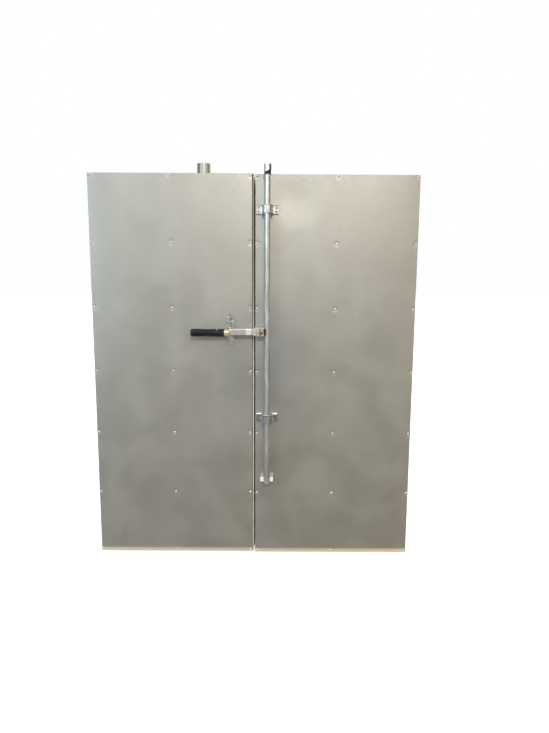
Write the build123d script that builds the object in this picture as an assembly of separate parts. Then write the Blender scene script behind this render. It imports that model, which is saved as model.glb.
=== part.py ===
from build123d import *
import os

# Batch powder coating oven: an insulated box with two overlay doors, a turning lock pipe and a drop handle.
# Millimetres. x runs to the right, y from the doors to the rear, z up from the floor.
# The origin is on the floor, at the centre of the body's footprint.

os.makedirs("parts", exist_ok=True)

# Body
front_width = 1524.0
body_depth = 1422.0
roof_reveal = 6.0             # the roof lies this far below the top of the left leaf
wall_thickness = 100.0        # outer sheet, insulation and inner sheet together
sheet = 1.5
corner_lap = 40.0             # the side sheets fold this far onto the rear
sheet_lift = 3.0              # the outer sheets and the front frame end just above the floor
frame_plate = 3.0
jamb_depth = 40.0

# Door leaves
leaf_height = 1829.0
leaf_thickness = 102.0
leaf_clearance = 22.0         # from the floor to the left leaf
right_leaf_drop = 3.0         # the right leaf hangs a little lower
left_gap = 7.0                # from the middle of the front to the left leaf
right_gap = 6.8               # and to the right leaf
leaf_bend_radius = 2.0
strip_width = 8.0             # meeting strip on the left leaf, inside the gap
strip_setback = 2.0
strip_web = 0.8
strip_edge = 4.4              # the strip's rounded outer edge
strip_rim_radius = 1.4
strip_groove_depth = 16.0

# Door seal
seal_gap = 10.0               # between the front frame and the closed leaves
seal_width = 18.0
seal_clearance = 0.3
seal_inset = 46.0             # from the frame's outer edge to the seal's middle
seal_corner_radius = 30.0

# Hinges
hinge_inset = 190.0           # from the leaf's ends to the middle of the outer hinges
hinge_length = 110.0
hinge_count = 3
hinge_plate_width = 62.0
hinge_plate_thickness = 5.0
hinge_plate_setback = 1.0
pin_offset = 14.0             # from the side of the leaf to the pin's axis
pin_radius = 5.0
pin_clearance = 0.1
pin_head_radius = 8.0
pin_head_height = 3.0
knuckle_radius = 9.0
knuckle_count = 5
knuckle_gap = 1.0

# Lock pipe, measured from the middle of the front and from the floor
rod_x = 63.5
rod_standoff = 38.0           # from the leaf's face to the pipe's axis
rod_radius = 13.35
rod_wall = 2.9
rod_bottom = 404.0
running_clearance = 0.3

# Cam on the top of the pipe
cam_rise = 34.5               # above the left leaf's top
cam_height = 38.0
cam_radius = 16.5
cam_bevel_rise = 14.0         # the cam's lower end is cut at a slant, higher on the right
cam_collar_radius = 14.9
cam_collar_height = 32.0
cam_collar_below = 6.5        # the collar starts this far below the cam
rod_into_cam = 8.0            # the pipe ends this far above the collar
cam_tooth_reach = 33.0
cam_tooth_thickness = 10.0
cam_tooth_height = 26.0

# Keeper on the roof's front edge
keeper_width = 28.0
keeper_plate = 8.0
keeper_clearance = 5.5        # to the cam's tooth and over the right leaf's top
keeper_foot_length = 60.0
keeper_lug_thickness = 5.0
keeper_lug_reach = 16.0

# Bearings that hold the pipe
upper_bearing_drop = 162.0    # from the left leaf's top
lower_bearing_height = 714.0
bearing_width = 101.0
bearing_height = 41.0
bearing_plate = 10.0
bearing_corner = 3.0
bearing_brow = 5.5            # the plate's sloped upper edge, height and depth
bearing_brow_depth = 2.4
bearing_bevel = 2.4           # its lower edge
saddle_height = 35.0
saddle_wall = 5.0
saddle_flare = 3.0
bush_wall = 5.0
bush_overhang = 1.5

# Foot that the pipe stands in
foot_width = 62.0
foot_height = 36.0
foot_plate = 6.0
foot_ear_reach = 30.0
foot_ear_brow = 18.0          # the ear's reach at its upper end
foot_nose_height = 19.0       # the sloped face of the ear's nose
foot_nose_depth = 10.0
foot_nose_bevel = 4.0         # below the nose
foot_ear_gap = 1.3            # from the pipe to each ear
foot_sole = 10.0

# Handle
handle_height = 1124.5        # the axis of the bolt and of the grip
bar_lift = 5.0                # the middle of the bar and of the hub above that axis
hub_height = 37.0
hub_pad_height = 46.0         # the pad that is welded on the pipe
hub_pad_width = 8.0
hub_neck = 16.0               # from the pipe's axis to where the ears start to slope back
hub_ear_thickness = 6.0
hub_ear_reach = 65.0          # from the pipe's axis to the ears' outer end
hub_bolt_offset = 30.0        # from the pipe's axis to the bolt's axis
hub_bolt_radius = 6.35
hub_bolt_head = 4.0
hub_bolt_head_radius = 10.5
hub_stop_length = 14.0
bar_height = 30.0
bar_thickness = 14.0
bar_length = 148.0            # from the bolt's axis to the grip's collar
bar_top_radius = 6.0
bar_foot_radius = 2.0
bar_heel = 9.0                # from the bolt's axis to the bar's rounded end
collar_length = 24.0
collar_radius = 14.5
tang_radius = 8.0
grip_length = 156.0
grip_radius = 18.2
grip_waist = 1.2
grip_ring_length = 7.0
grip_ring_rise = 0.4
grip_end_radius = 9.0

# Catch for the handle, on the left leaf
catch_x = -109.0
catch_width = 30.0
catch_length = 146.0
catch_above_handle = 14.5     # the plate's middle above the handle's
catch_plate = 6.0
catch_bolt_inset = 18.0
catch_bolt_radius = 7.5
catch_bolt_height = 5.0
catch_bolt_crown = 3.0
shelf_drop = 23.0             # from the handle's axis down to the shelf's top
shelf_reach = 46.0
shelf_thickness = 4.0
shelf_width = 22.0
latch_pin_above_handle = 49.5
latch_pin_below_ears = 9.0    # from the top of the ears down to the pin
latch_reach = 18.0
latch_ear_thickness = 4.0
latch_flap_length = 32.0
latch_ear_height = 40.0
latch_ear_radius = 7.0
latch_flap_thickness = 4.0
latch_lip_radius = 3.6
latch_pin_radius = 3.5
latch_pin_overhang = 2.0

# Exhaust stub through the roof
exhaust_x = -311.0
exhaust_y = -111.0
exhaust_radius = 38.1
exhaust_wall = 2.0
exhaust_rise = 181.0
exhaust_flange_radius = 68.0
exhaust_flange_thickness = 3.0
exhaust_sleeve_height = 30.0
exhaust_sleeve_wall = 3.0
exhaust_clearance = 0.3

# Places that follow from the sizes above
half_width = front_width / 2
front_y = -body_depth / 2
rear_y = body_depth / 2
door_back_y = front_y - seal_gap
door_face_y = door_back_y - leaf_thickness
left_leaf_top = leaf_clearance + leaf_height
right_leaf_bottom = leaf_clearance - right_leaf_drop
body_height = left_leaf_top - roof_reveal
rod_y = door_face_y - rod_standoff
cam_top = left_leaf_top + cam_rise
cam_bottom = cam_top - cam_height
collar_bottom = cam_bottom - cam_collar_below
collar_top = collar_bottom + cam_collar_height
rod_top = collar_top + rod_into_cam
upper_bearing_height = left_leaf_top - upper_bearing_drop
chamber_half_width = half_width - wall_thickness
chamber_bottom = wall_thickness
chamber_top = body_height - wall_thickness
chamber_rear_y = rear_y - wall_thickness
hinge_pin_x = half_width + pin_offset
hinge_pin_y = (front_y + door_back_y) / 2
bolt_x = rod_x - hub_bolt_offset
insulation_front_y = front_y + frame_plate


def block(x0, x1, y0, y1, z0, z1):
    """A box between two opposite corners."""
    middle = Pos((x0 + x1) / 2, (y0 + y1) / 2, (z0 + z1) / 2)
    return middle * Box(x1 - x0, y1 - y0, z1 - z0)


def upright(x, y, z0, z1, radius):
    """A round bar along z."""
    return Pos(x, y, (z0 + z1) / 2) * Cylinder(radius, z1 - z0)


def outward(x, z, y0, y1, radius):
    """A round bar along y, between two depths."""
    return Pos(x, (y0 + y1) / 2, z) * Rot(90, 0, 0) * Cylinder(radius, y1 - y0)


def along_x(x0, x1, y, z, radius):
    """A round bar along x."""
    return Pos((x0 + x1) / 2, y, z) * Rot(0, 90, 0) * Cylinder(radius, x1 - x0)


def save(node, shape):
    """One STEP file for each named piece."""
    shape.label = node
    export_step(shape, f"parts/{node}.step")


# Insulated panels of the body
def body_panels():
    core_out = half_width - sheet
    core_in = chamber_half_width + sheet
    core_rear = rear_y - sheet
    core_top = chamber_top + sheet
    right = block(core_in, core_out, insulation_front_y, core_rear, 0, core_top)
    rear = block(-core_in, core_in, chamber_rear_y + sheet, core_rear, 0, core_top)
    floor = block(-core_in, core_in, insulation_front_y, chamber_rear_y + sheet, 0, chamber_bottom - sheet)
    roof = block(-core_out, core_out, insulation_front_y, core_rear, core_top, body_height - sheet)
    roof -= upright(exhaust_x, exhaust_y, core_top, body_height, exhaust_radius + exhaust_clearance)
    save("right_wall", right)
    save("left_wall", mirror(right, Plane.YZ))
    save("rear_wall", rear)
    save("floor_panel", floor)
    save("roof_panel", roof)


# Outer sheets, with the rear edge of each side sheet folded round the corner
def outer_sheets():
    low = sheet_lift
    x = half_width - sheet
    right = block(x, half_width, insulation_front_y, rear_y + sheet, low, body_height)
    right += block(half_width - corner_lap, half_width, rear_y, rear_y + sheet, low, body_height)
    rear = block(-x, x, rear_y - sheet, rear_y, low, body_height - sheet)
    roof = block(-x, x, insulation_front_y, rear_y, body_height - sheet, body_height)
    roof -= upright(exhaust_x, exhaust_y, 0, 2 * body_height, exhaust_radius + exhaust_clearance)
    save("right_sheet", right)
    save("left_sheet", mirror(right, Plane.YZ))
    save("rear_sheet", rear)
    save("roof_sheet", roof)


# Inner sheets of the chamber
def inner_sheets():
    x = chamber_half_width
    right = block(x, x + sheet, insulation_front_y, chamber_rear_y + sheet, chamber_bottom - sheet, chamber_top + sheet)
    rear = block(-x, x, chamber_rear_y, chamber_rear_y + sheet, chamber_bottom - sheet, chamber_top + sheet)
    floor = block(-x, x, insulation_front_y, chamber_rear_y, chamber_bottom - sheet, chamber_bottom)
    ceiling = block(-x, x, insulation_front_y, chamber_rear_y, chamber_top, chamber_top + sheet)
    ceiling -= upright(exhaust_x, exhaust_y, 0, 2 * body_height, exhaust_radius + exhaust_clearance)
    save("right_liner", right)
    save("left_liner", mirror(right, Plane.YZ))
    save("rear_liner", rear)
    save("floor_liner", floor)
    save("ceiling_liner", ceiling)


# Front frame: a flat face round the opening, with a lip that laps over the inner sheets
def front_frame():
    opening_x = chamber_half_width - frame_plate
    opening_bottom = chamber_bottom + frame_plate
    opening_top = chamber_top - frame_plate
    lip_rear = insulation_front_y + jamb_depth
    face = block(-half_width, half_width, front_y, insulation_front_y, sheet_lift, body_height)
    lip = block(-chamber_half_width, chamber_half_width, front_y, lip_rear, chamber_bottom, chamber_top)
    opening = block(-opening_x, opening_x, front_y - 1, lip_rear + 1, opening_bottom, opening_top)
    save("front_frame", face + lip - opening)


# Door seal: a soft bead with a rounded front, clipped to the frame
def door_seal():
    middle_x = half_width - seal_inset
    middle_bottom = leaf_clearance + seal_inset - seal_width
    middle_top = body_height - seal_inset
    height = middle_top - middle_bottom
    thickness = seal_gap - seal_clearance
    face = Plane.XZ.offset(-front_y)
    centre = (0, (middle_top + middle_bottom) / 2)
    with BuildPart() as bead:
        with BuildSketch(face):
            with Locations(centre):
                RectangleRounded(2 * middle_x + seal_width, height + seal_width, seal_corner_radius + seal_width / 2)
                RectangleRounded(2 * middle_x - seal_width, height - seal_width, seal_corner_radius - seal_width / 2,
                                 mode=Mode.SUBTRACT)
        extrude(amount=thickness)
        front_edges = bead.part.faces().sort_by(Axis.Y)[0].edges()
        fillet(front_edges, radius=0.45 * thickness)
    save("door_seal", bead.part)


# Door leaves: a folded outer pan, insulation and an inner sheet with a lip round it
def leaf(side, bottom):
    """The three pieces of one leaf. side is -1 for the left leaf and +1 for the right."""
    x0 = left_gap if side < 0 else right_gap
    x1 = half_width
    top = bottom + leaf_height
    outer = block(x0, x1, door_face_y, door_back_y, bottom, top)
    front_edges = outer.faces().sort_by(Axis.Y)[0].edges()
    outer = fillet(front_edges, radius=leaf_bend_radius)
    hollow = block(x0 + sheet, x1 - sheet, door_face_y + sheet, door_back_y + 1, bottom + sheet, top - sheet)
    pan = outer - hollow
    wool = block(x0 + sheet, x1 - sheet, door_face_y + sheet, door_back_y - sheet, bottom + sheet, top - sheet)
    back = block(x0 + sheet, x1 - sheet, door_back_y - sheet, door_back_y, bottom + sheet, top - sheet)
    pieces = [pan, wool, back]
    if side < 0:
        pieces = [mirror(piece, Plane.YZ) for piece in pieces]
    return pieces


def door_leaves():
    for name, side, bottom in (("left", -1, leaf_clearance), ("right", 1, right_leaf_bottom)):
        pan, wool, back = leaf(side, bottom)
        save(f"{name}_door_skin", pan)
        save(f"{name}_door_core", wool)
        save(f"{name}_door_liner", back)


# Meeting strip: a channel on the edge of the left leaf, open to the front, with a rounded outer edge
def meeting_strip():
    edge = -left_gap
    outer = edge + strip_width
    y0 = door_face_y + strip_setback
    strip = block(edge, outer, y0, door_back_y - strip_setback, leaf_clearance, left_leaf_top)
    strip -= block(edge + strip_web, outer - strip_edge, y0 - 1, y0 + strip_groove_depth,
                   leaf_clearance - 1, left_leaf_top + 1)
    rim = strip.edges().filter_by(Axis.Z).filter_by_position(Axis.Y, y0 - 0.1, y0 + 0.1)
    rim = rim.filter_by_position(Axis.X, outer - strip_edge - 0.1, outer + 0.1)
    save("meeting_strip", fillet(rim, radius=strip_rim_radius))


# Hinges: plates on the sides of the body and of the leaves, with knuckles on one pin
def hinge_heights():
    first = leaf_clearance + hinge_inset
    last = left_leaf_top - hinge_inset
    pitch = (last - first) / (hinge_count - 1)
    return [first + pitch * i for i in range(hinge_count)]


def knuckle_spans(z_middle, parity):
    """The heights of every second knuckle of one hinge."""
    length = (hinge_length - knuckle_gap * (knuckle_count - 1)) / knuckle_count
    start = z_middle - hinge_length / 2
    return [(start + i * (length + knuckle_gap), start + i * (length + knuckle_gap) + length)
            for i in range(knuckle_count) if i % 2 == parity]


def hinge_leaf(z_middle, on_door):
    """One half of a right-hand hinge."""
    z0 = z_middle - hinge_length / 2
    z1 = z_middle + hinge_length / 2
    plate_out = half_width + hinge_plate_thickness
    if on_door:
        near = door_back_y - hinge_plate_setback
        half = block(half_width, plate_out, near - hinge_plate_width, near, z0, z1)
        web_y = (hinge_pin_y - knuckle_radius, near)
    else:
        near = front_y + hinge_plate_setback
        half = block(half_width, plate_out, near, near + hinge_plate_width, z0, z1)
        web_y = (near, hinge_pin_y + knuckle_radius)
    for k0, k1 in knuckle_spans(z_middle, 1 if on_door else 0):
        half += upright(hinge_pin_x, hinge_pin_y, k0, k1, knuckle_radius)
        half += block(half_width, hinge_pin_x, web_y[0], web_y[1], k0, k1)
    half -= upright(hinge_pin_x, hinge_pin_y, z0 - 1, z1 + 1, pin_radius + pin_clearance)
    return half


def hinge_pin(z_middle):
    z0 = z_middle - hinge_length / 2
    z1 = z_middle + hinge_length / 2
    head = upright(hinge_pin_x, hinge_pin_y, z1 + running_clearance, z1 + running_clearance + pin_head_height,
                   pin_head_radius)
    return head + upright(hinge_pin_x, hinge_pin_y, z0 - pin_head_height, z1 + pin_head_height, pin_radius)


def hinges():
    heights = hinge_heights()
    body_right = [hinge_leaf(z, False) for z in heights]
    door_right = [hinge_leaf(z, True) for z in heights]
    pins_right = [hinge_pin(z) for z in heights]
    save("right_body_hinges", Compound(children=body_right))
    save("right_door_hinges", Compound(children=door_right))
    pins_left = [mirror(s, Plane.YZ) for s in pins_right]
    save("left_body_hinges", Compound(children=[mirror(s, Plane.YZ) for s in body_right]))
    save("left_door_hinges", Compound(children=[mirror(s, Plane.YZ) for s in door_right]))
    save("hinge_pins", Compound(children=pins_right + pins_left))


# Bearings: a plate with sloped ends and a saddle over the pipe, and a plastic bush inside the saddle
def plate_slope(x0, x1, front, edge_z, rise, depth):
    """The wedge that is taken off a plate's front edge, to slope it."""
    with BuildPart() as wedge:
        with BuildSketch(Plane.YZ.offset(x0)):
            with BuildLine():
                Polyline(
                    (front, edge_z - rise),
                    (front + depth, edge_z),
                    (front, edge_z + rise),
                    (front - depth, edge_z),
                    (front, edge_z - rise),
                )
            make_face()
        extrude(amount=x1 - x0)
    return wedge.part


def bearing(z_middle):
    """The steel part of one bearing, drawn in plan and extruded upwards."""
    bush_radius = rod_radius + running_clearance + bush_wall
    saddle_radius = bush_radius + saddle_wall
    foot_half = saddle_radius + saddle_flare
    z0 = z_middle - bearing_height / 2
    with BuildPart() as body:
        with BuildSketch(Plane.XY.offset(z0)):
            with BuildLine():
                Polyline(
                    (rod_x - bearing_width / 2, door_face_y),
                    (rod_x - bearing_width / 2, door_face_y - bearing_plate),
                    (rod_x - foot_half, door_face_y - bearing_plate),
                    (rod_x - saddle_radius, rod_y),
                )
                ThreePointArc(
                    (rod_x - saddle_radius, rod_y),
                    (rod_x, rod_y - saddle_radius),
                    (rod_x + saddle_radius, rod_y),
                )
                Polyline(
                    (rod_x + saddle_radius, rod_y),
                    (rod_x + foot_half, door_face_y - bearing_plate),
                    (rod_x + bearing_width / 2, door_face_y - bearing_plate),
                    (rod_x + bearing_width / 2, door_face_y),
                    (rod_x - bearing_width / 2, door_face_y),
                )
            make_face()
            with Locations((rod_x, rod_y)):
                Circle(bush_radius, mode=Mode.SUBTRACT)
            with Locations((rod_x, (rod_y + door_face_y - bearing_plate) / 2)):
                Rectangle(2 * bush_radius, door_face_y - bearing_plate - rod_y, mode=Mode.SUBTRACT)
        extrude(amount=bearing_height)
        corners = body.part.edges().filter_by(Axis.Y)
        fillet(corners, radius=bearing_corner)
    shape = body.part
    front = door_face_y - bearing_plate
    for side, rise, depth in ((1, bearing_brow, bearing_brow_depth), (-1, bearing_bevel, bearing_bevel)):
        edge_z = z_middle + side * bearing_height / 2
        spare = z_middle + side * saddle_height / 2
        shape -= block(rod_x - foot_half, rod_x + foot_half, rod_y - saddle_radius - 1, front,
                       min(spare, edge_z + side), max(spare, edge_z + side))
        for x0 in (rod_x - bearing_width / 2 - 1, rod_x + foot_half):
            x1 = x0 + bearing_width / 2 - foot_half + 1
            shape -= plate_slope(x0, x1, front, edge_z, side * rise, depth)
    return shape


def bush(z_middle):
    z0 = z_middle - saddle_height / 2 - bush_overhang
    z1 = z_middle + saddle_height / 2 + bush_overhang
    ring = upright(rod_x, rod_y, z0, z1, rod_radius + running_clearance + bush_wall)
    return ring - upright(rod_x, rod_y, z0 - 1, z1 + 1, rod_radius + running_clearance)


def bearings():
    save("upper_bearing", bearing(upper_bearing_height))
    save("lower_bearing", bearing(lower_bearing_height))
    save("bearing_bushes", Compound(children=[bush(upper_bearing_height), bush(lower_bearing_height)]))


# Foot: a plate with two sloped ears beside the pipe and a sole that the pipe stands on
def rod_foot():
    sole_top = rod_bottom - running_clearance
    bottom = sole_top - foot_sole
    top = bottom + foot_height
    plate_y = door_face_y - foot_plate
    nose_y = door_face_y - foot_ear_reach
    foot = block(rod_x - foot_width / 2, rod_x + foot_width / 2, plate_y, door_face_y, bottom, top)
    ear_in = rod_radius + foot_ear_gap
    ear_width = foot_width / 2 - ear_in
    for x0 in (rod_x - foot_width / 2, rod_x + ear_in):
        with BuildPart() as ear:
            with BuildSketch(Plane.YZ.offset(x0)):
                with BuildLine():
                    Polyline(
                        (door_face_y, bottom),
                        (nose_y + foot_nose_bevel, bottom),
                        (nose_y, bottom + foot_nose_bevel),
                        (nose_y + foot_nose_depth, bottom + foot_nose_bevel + foot_nose_height),
                        (door_face_y - foot_ear_brow, top),
                        (door_face_y, top),
                        (door_face_y, bottom),
                    )
                make_face()
            extrude(amount=ear_width)
        foot += ear.part
    sole = block(rod_x - ear_in, rod_x + ear_in, rod_y, door_face_y, bottom, sole_top)
    sole += upright(rod_x, rod_y, bottom, sole_top, ear_in)
    save("rod_foot", foot + sole)


# Lock pipe with its cam, the dark collar under the cam, and the hub and bolt of the handle
def lock_rod():
    pipe = upright(rod_x, rod_y, rod_bottom, rod_top, rod_radius)
    pipe -= upright(rod_x, rod_y, rod_bottom - 1, rod_top + 1, rod_radius - rod_wall)
    save("lock_rod", pipe)
    collar = upright(rod_x, rod_y, collar_bottom, collar_top, cam_collar_radius)
    collar -= upright(rod_x, rod_y, collar_bottom - 1, collar_top + 1, rod_radius)
    save("cam_collar", collar)


def rod_cam():
    """A round head on the pipe's end, cut at a slant below, with a tooth that points to the body."""
    head = upright(rod_x, rod_y, cam_bottom, cam_top, cam_radius)
    head = chamfer(head.edges().group_by(Axis.Z)[-1], 1.5)
    reach = cam_radius + 1
    with BuildPart() as wedge:
        with BuildSketch(Plane.XZ.offset(-(rod_y + reach))):
            with BuildLine():
                Polyline(
                    (rod_x - reach, cam_bottom - 1),
                    (rod_x - reach, cam_bottom),
                    (rod_x + reach, cam_bottom + cam_bevel_rise),
                    (rod_x + reach, cam_bottom - 1),
                    (rod_x - reach, cam_bottom - 1),
                )
            make_face()
        extrude(amount=2 * reach)
    head -= wedge.part
    head -= upright(rod_x, rod_y, cam_bottom - 1, collar_top, cam_collar_radius)
    head -= upright(rod_x, rod_y, cam_bottom - 1, rod_top, rod_radius)
    half = cam_tooth_thickness / 2
    tooth_top = cam_top - 2
    tooth_bottom = tooth_top - cam_tooth_height
    with BuildPart() as tooth:
        with BuildSketch(Plane.YZ.offset(rod_x - half)):
            with BuildLine():
                Polyline(
                    (rod_y + rod_radius, tooth_bottom),
                    (rod_y + cam_tooth_reach, tooth_bottom + cam_tooth_height / 3),
                    (rod_y + cam_tooth_reach, tooth_top),
                    (rod_y + rod_radius, tooth_top),
                    (rod_y + rod_radius, tooth_bottom),
                )
            make_face()
        extrude(amount=cam_tooth_thickness)
    shape = head + tooth.part
    shape -= upright(rod_x, rod_y, cam_bottom - 1, collar_top, cam_collar_radius)
    save("rod_cam", shape)


def handle_hub():
    """Two ears welded to the pipe by a pad, and the stop under the bar."""
    middle_z = handle_height + bar_lift
    z0 = middle_z - hub_height / 2
    z1 = middle_z + hub_height / 2
    slot = bar_thickness / 2 + running_clearance
    ear_y = slot + hub_ear_thickness
    end_x = rod_x - hub_ear_reach
    neck_x = rod_x - hub_neck
    hub = block(end_x, neck_x, rod_y - ear_y, rod_y + ear_y, z0, z1)
    end_edges = hub.faces().sort_by(Axis.X)[0].edges().filter_by(Axis.Y)
    hub = fillet(end_edges, radius=hub_height / 4)
    stop_top = middle_z - bar_height / 2 - running_clearance
    slot_block = block(end_x - 1, neck_x, rod_y - slot, rod_y + slot, z0 - 1, z1 + 1)
    slot_block -= block(end_x - 1, end_x + hub_stop_length, rod_y - slot, rod_y + slot, z0 - 1, stop_top)
    hub -= slot_block
    pad_x = rod_x - rod_radius + 0.4 * rod_radius
    pad_half = hub_pad_height / 2
    with BuildPart() as pad:
        with BuildSketch(Plane.XY.offset(middle_z - pad_half)):
            with BuildLine():
                Polyline(
                    (neck_x, rod_y - ear_y),
                    (pad_x, rod_y - 0.8 * rod_radius),
                    (pad_x, rod_y + 0.8 * rod_radius),
                    (neck_x, rod_y + ear_y),
                    (neck_x, rod_y - ear_y),
                )
            make_face()
        extrude(amount=hub_pad_height)
        outer = pad.part.edges().group_by(Axis.X)[0].filter_by(Axis.Y)
        chamfer(outer, length=(hub_pad_height - hub_height) / 2, length2=hub_pad_width / 2)
    hub += pad.part
    hub -= upright(rod_x, rod_y, z0 - hub_pad_height, z1 + hub_pad_height, rod_radius)
    hub -= outward(bolt_x, handle_height, rod_y - ear_y - 1, rod_y + ear_y + 1, hub_bolt_radius)
    save("handle_hub", hub)


def hub_bolt():
    ear_y = bar_thickness / 2 + running_clearance + hub_ear_thickness
    bolt = outward(bolt_x, handle_height, rod_y - ear_y, rod_y + ear_y, hub_bolt_radius)
    for y0, tip in ((rod_y - ear_y, -1), (rod_y + ear_y, 1)):
        head = outward(bolt_x, handle_height, min(y0, y0 + tip * hub_bolt_head),
                       max(y0, y0 + tip * hub_bolt_head), hub_bolt_head_radius)
        crown = head.edges().filter_by(GeomType.CIRCLE).sort_by(Axis.Y)
        rim = crown[0] if tip < 0 else crown[-1]
        bolt += fillet([rim], radius=0.8 * hub_bolt_head)
    save("hub_bolt", bolt)


# Handle: a flat bar on the bolt, a round collar and a moulded grip
def handle():
    bar_end = bolt_x - bar_length
    half = bar_height / 2
    middle_z = handle_height + bar_lift
    heel_half = half - bar_heel
    y0 = rod_y - bar_thickness / 2
    y1 = rod_y + bar_thickness / 2
    bar = block(bar_end, bolt_x + bar_heel, y0, y1, middle_z - half, middle_z + half)
    bar = fillet(bar.edges().filter_by(Axis.X).group_by(Axis.Z)[-1], radius=bar_top_radius)
    bar = fillet(bar.edges().filter_by(Axis.X).group_by(Axis.Z)[0], radius=bar_foot_radius)
    outline = block(bar_end, bolt_x, y0, y1, middle_z - half, middle_z + half)
    outline += block(bolt_x, bolt_x + bar_heel, y0, y1, middle_z - heel_half, middle_z + heel_half)
    for z in (middle_z - heel_half, middle_z + heel_half):
        outline += outward(bolt_x, z, y0, y1, bar_heel)
    bar = bar & outline
    bar -= outward(bolt_x, handle_height, rod_y - bar_thickness, rod_y + bar_thickness,
                   hub_bolt_radius + running_clearance)
    collar_end = bar_end - collar_length
    collar = along_x(collar_end, bar_end, rod_y, handle_height, collar_radius)
    collar = chamfer(collar.edges().filter_by(GeomType.CIRCLE), 1.5)
    grip_end = collar_end - grip_length
    tang_end = grip_end + grip_end_radius * 2
    collar += along_x(tang_end, collar_end, rod_y, handle_height, tang_radius)
    save("handle_bar", bar)
    save("handle_collar", collar)
    ring_end = collar_end - grip_ring_length
    with BuildPart() as grip:
        with BuildSketch(Plane.XY):
            with BuildLine():
                Line((grip_end, 0), (grip_end, grip_radius - grip_end_radius))
                RadiusArc((grip_end, grip_radius - grip_end_radius),
                          (grip_end + grip_end_radius, grip_radius), grip_end_radius)
                Spline(
                    (grip_end + grip_end_radius, grip_radius),
                    ((grip_end + ring_end) / 2, grip_radius - grip_waist),
                    (ring_end, grip_radius),
                    tangents=((1, 0), (1, 0)),
                )
                Polyline(
                    (ring_end, grip_radius),
                    (ring_end, grip_radius + grip_ring_rise),
                    (collar_end, grip_radius + grip_ring_rise),
                    (collar_end, 0),
                    (grip_end, 0),
                )
            make_face()
        revolve(axis=Axis.X)
    moulding = Pos(0, rod_y, handle_height) * grip.part
    moulding -= along_x(tang_end, collar_end + 1, rod_y, handle_height, tang_radius)
    save("grip", moulding)


# Catch: an upright plate with rounded ends, a shelf under the bar and a latch parked above it
def handle_catch():
    middle_z = handle_height + catch_above_handle
    face = Plane(origin=(catch_x, door_face_y, middle_z), x_dir=(1, 0, 0), z_dir=(0, -1, 0))
    plate = extrude(face * RectangleRounded(catch_width, catch_length, catch_width / 2 - 0.5), amount=catch_plate)
    shelf_top = handle_height - shelf_drop
    shelf = block(catch_x - shelf_width / 2, catch_x + shelf_width / 2, door_face_y - shelf_reach, door_face_y,
                  shelf_top - shelf_thickness, shelf_top)
    front_corners = shelf.faces().sort_by(Axis.Y)[0].edges().filter_by(Axis.Z)
    shelf = fillet(front_corners, radius=shelf_thickness)
    catch = plate + shelf
    for z in (middle_z - catch_length / 2 + catch_bolt_inset, middle_z + catch_length / 2 - catch_bolt_inset):
        bolt = outward(catch_x, z, door_face_y - catch_plate - catch_bolt_height, door_face_y, catch_bolt_radius)
        catch += fillet(bolt.edges().filter_by(GeomType.CIRCLE).sort_by(Axis.Y)[:1], radius=catch_bolt_crown)
    save("handle_catch", catch)


def catch_latch():
    """Two ears with a pin, and a small flap with a rolled lip that hangs between them."""
    pin_z = handle_height + latch_pin_above_handle
    y_face = door_face_y - catch_plate
    front = door_face_y - latch_reach
    pin_y = (front + y_face) / 2
    half = catch_width / 2
    high = pin_z + latch_pin_below_ears
    low = high - latch_ear_height
    latch = along_x(catch_x - half - latch_pin_overhang, catch_x + half + latch_pin_overhang, pin_y, pin_z,
                    latch_pin_radius)
    for x0 in (catch_x - half, catch_x + half - latch_ear_thickness):
        ear = block(x0, x0 + latch_ear_thickness, front, y_face, low, high)
        rounded = ear.faces().sort_by(Axis.Y)[0].edges().filter_by(Axis.X)
        latch += fillet(rounded, radius=latch_ear_radius)
    flap_half = half - latch_ear_thickness - running_clearance
    lip_z = pin_z - latch_flap_length + latch_lip_radius
    latch += block(catch_x - flap_half, catch_x + flap_half, pin_y - latch_flap_thickness / 2,
                   pin_y + latch_flap_thickness / 2, lip_z, pin_z)
    latch += along_x(catch_x - flap_half, catch_x + flap_half, pin_y - latch_flap_thickness / 2, lip_z,
                     latch_lip_radius)
    save("catch_latch", latch)


# Keeper: an arm from the roof's front edge over the leaf, with a lug beside the cam's tooth
def keeper():
    x0 = rod_x - keeper_width / 2
    x1 = rod_x + keeper_width / 2
    under = left_leaf_top + keeper_clearance
    arm_front = rod_y + cam_tooth_reach + keeper_clearance
    foot = block(x0, x1, front_y, front_y + keeper_foot_length, body_height, body_height + keeper_plate)
    riser = block(x0, x1, front_y, front_y + keeper_plate, body_height, under + keeper_plate)
    arm = block(x0, x1, arm_front, front_y + keeper_plate, under, under + keeper_plate)
    lug_x0 = rod_x + cam_tooth_thickness / 2 + keeper_clearance
    lug = block(lug_x0, lug_x0 + keeper_lug_thickness, arm_front - keeper_lug_reach, arm_front + keeper_plate,
                under, cam_top - keeper_plate)
    save("keeper", foot + riser + arm + lug)


# Exhaust stub and the flange that carries it on the roof
def exhaust():
    top = body_height + exhaust_rise
    inner = exhaust_radius - exhaust_wall
    stub = upright(exhaust_x, exhaust_y, chamber_top, top, exhaust_radius)
    stub -= upright(exhaust_x, exhaust_y, chamber_top - 1, top + 1, inner)
    save("exhaust_stub", stub)
    flange_top = body_height + exhaust_flange_thickness
    sleeve_top = body_height + exhaust_sleeve_height
    bore = exhaust_radius + exhaust_clearance
    flange = upright(exhaust_x, exhaust_y, body_height, flange_top, exhaust_flange_radius)
    flange += upright(exhaust_x, exhaust_y, body_height, sleeve_top, bore + exhaust_sleeve_wall)
    flange -= upright(exhaust_x, exhaust_y, body_height - 1, sleeve_top + 1, bore)
    save("exhaust_flange", flange)


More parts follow.
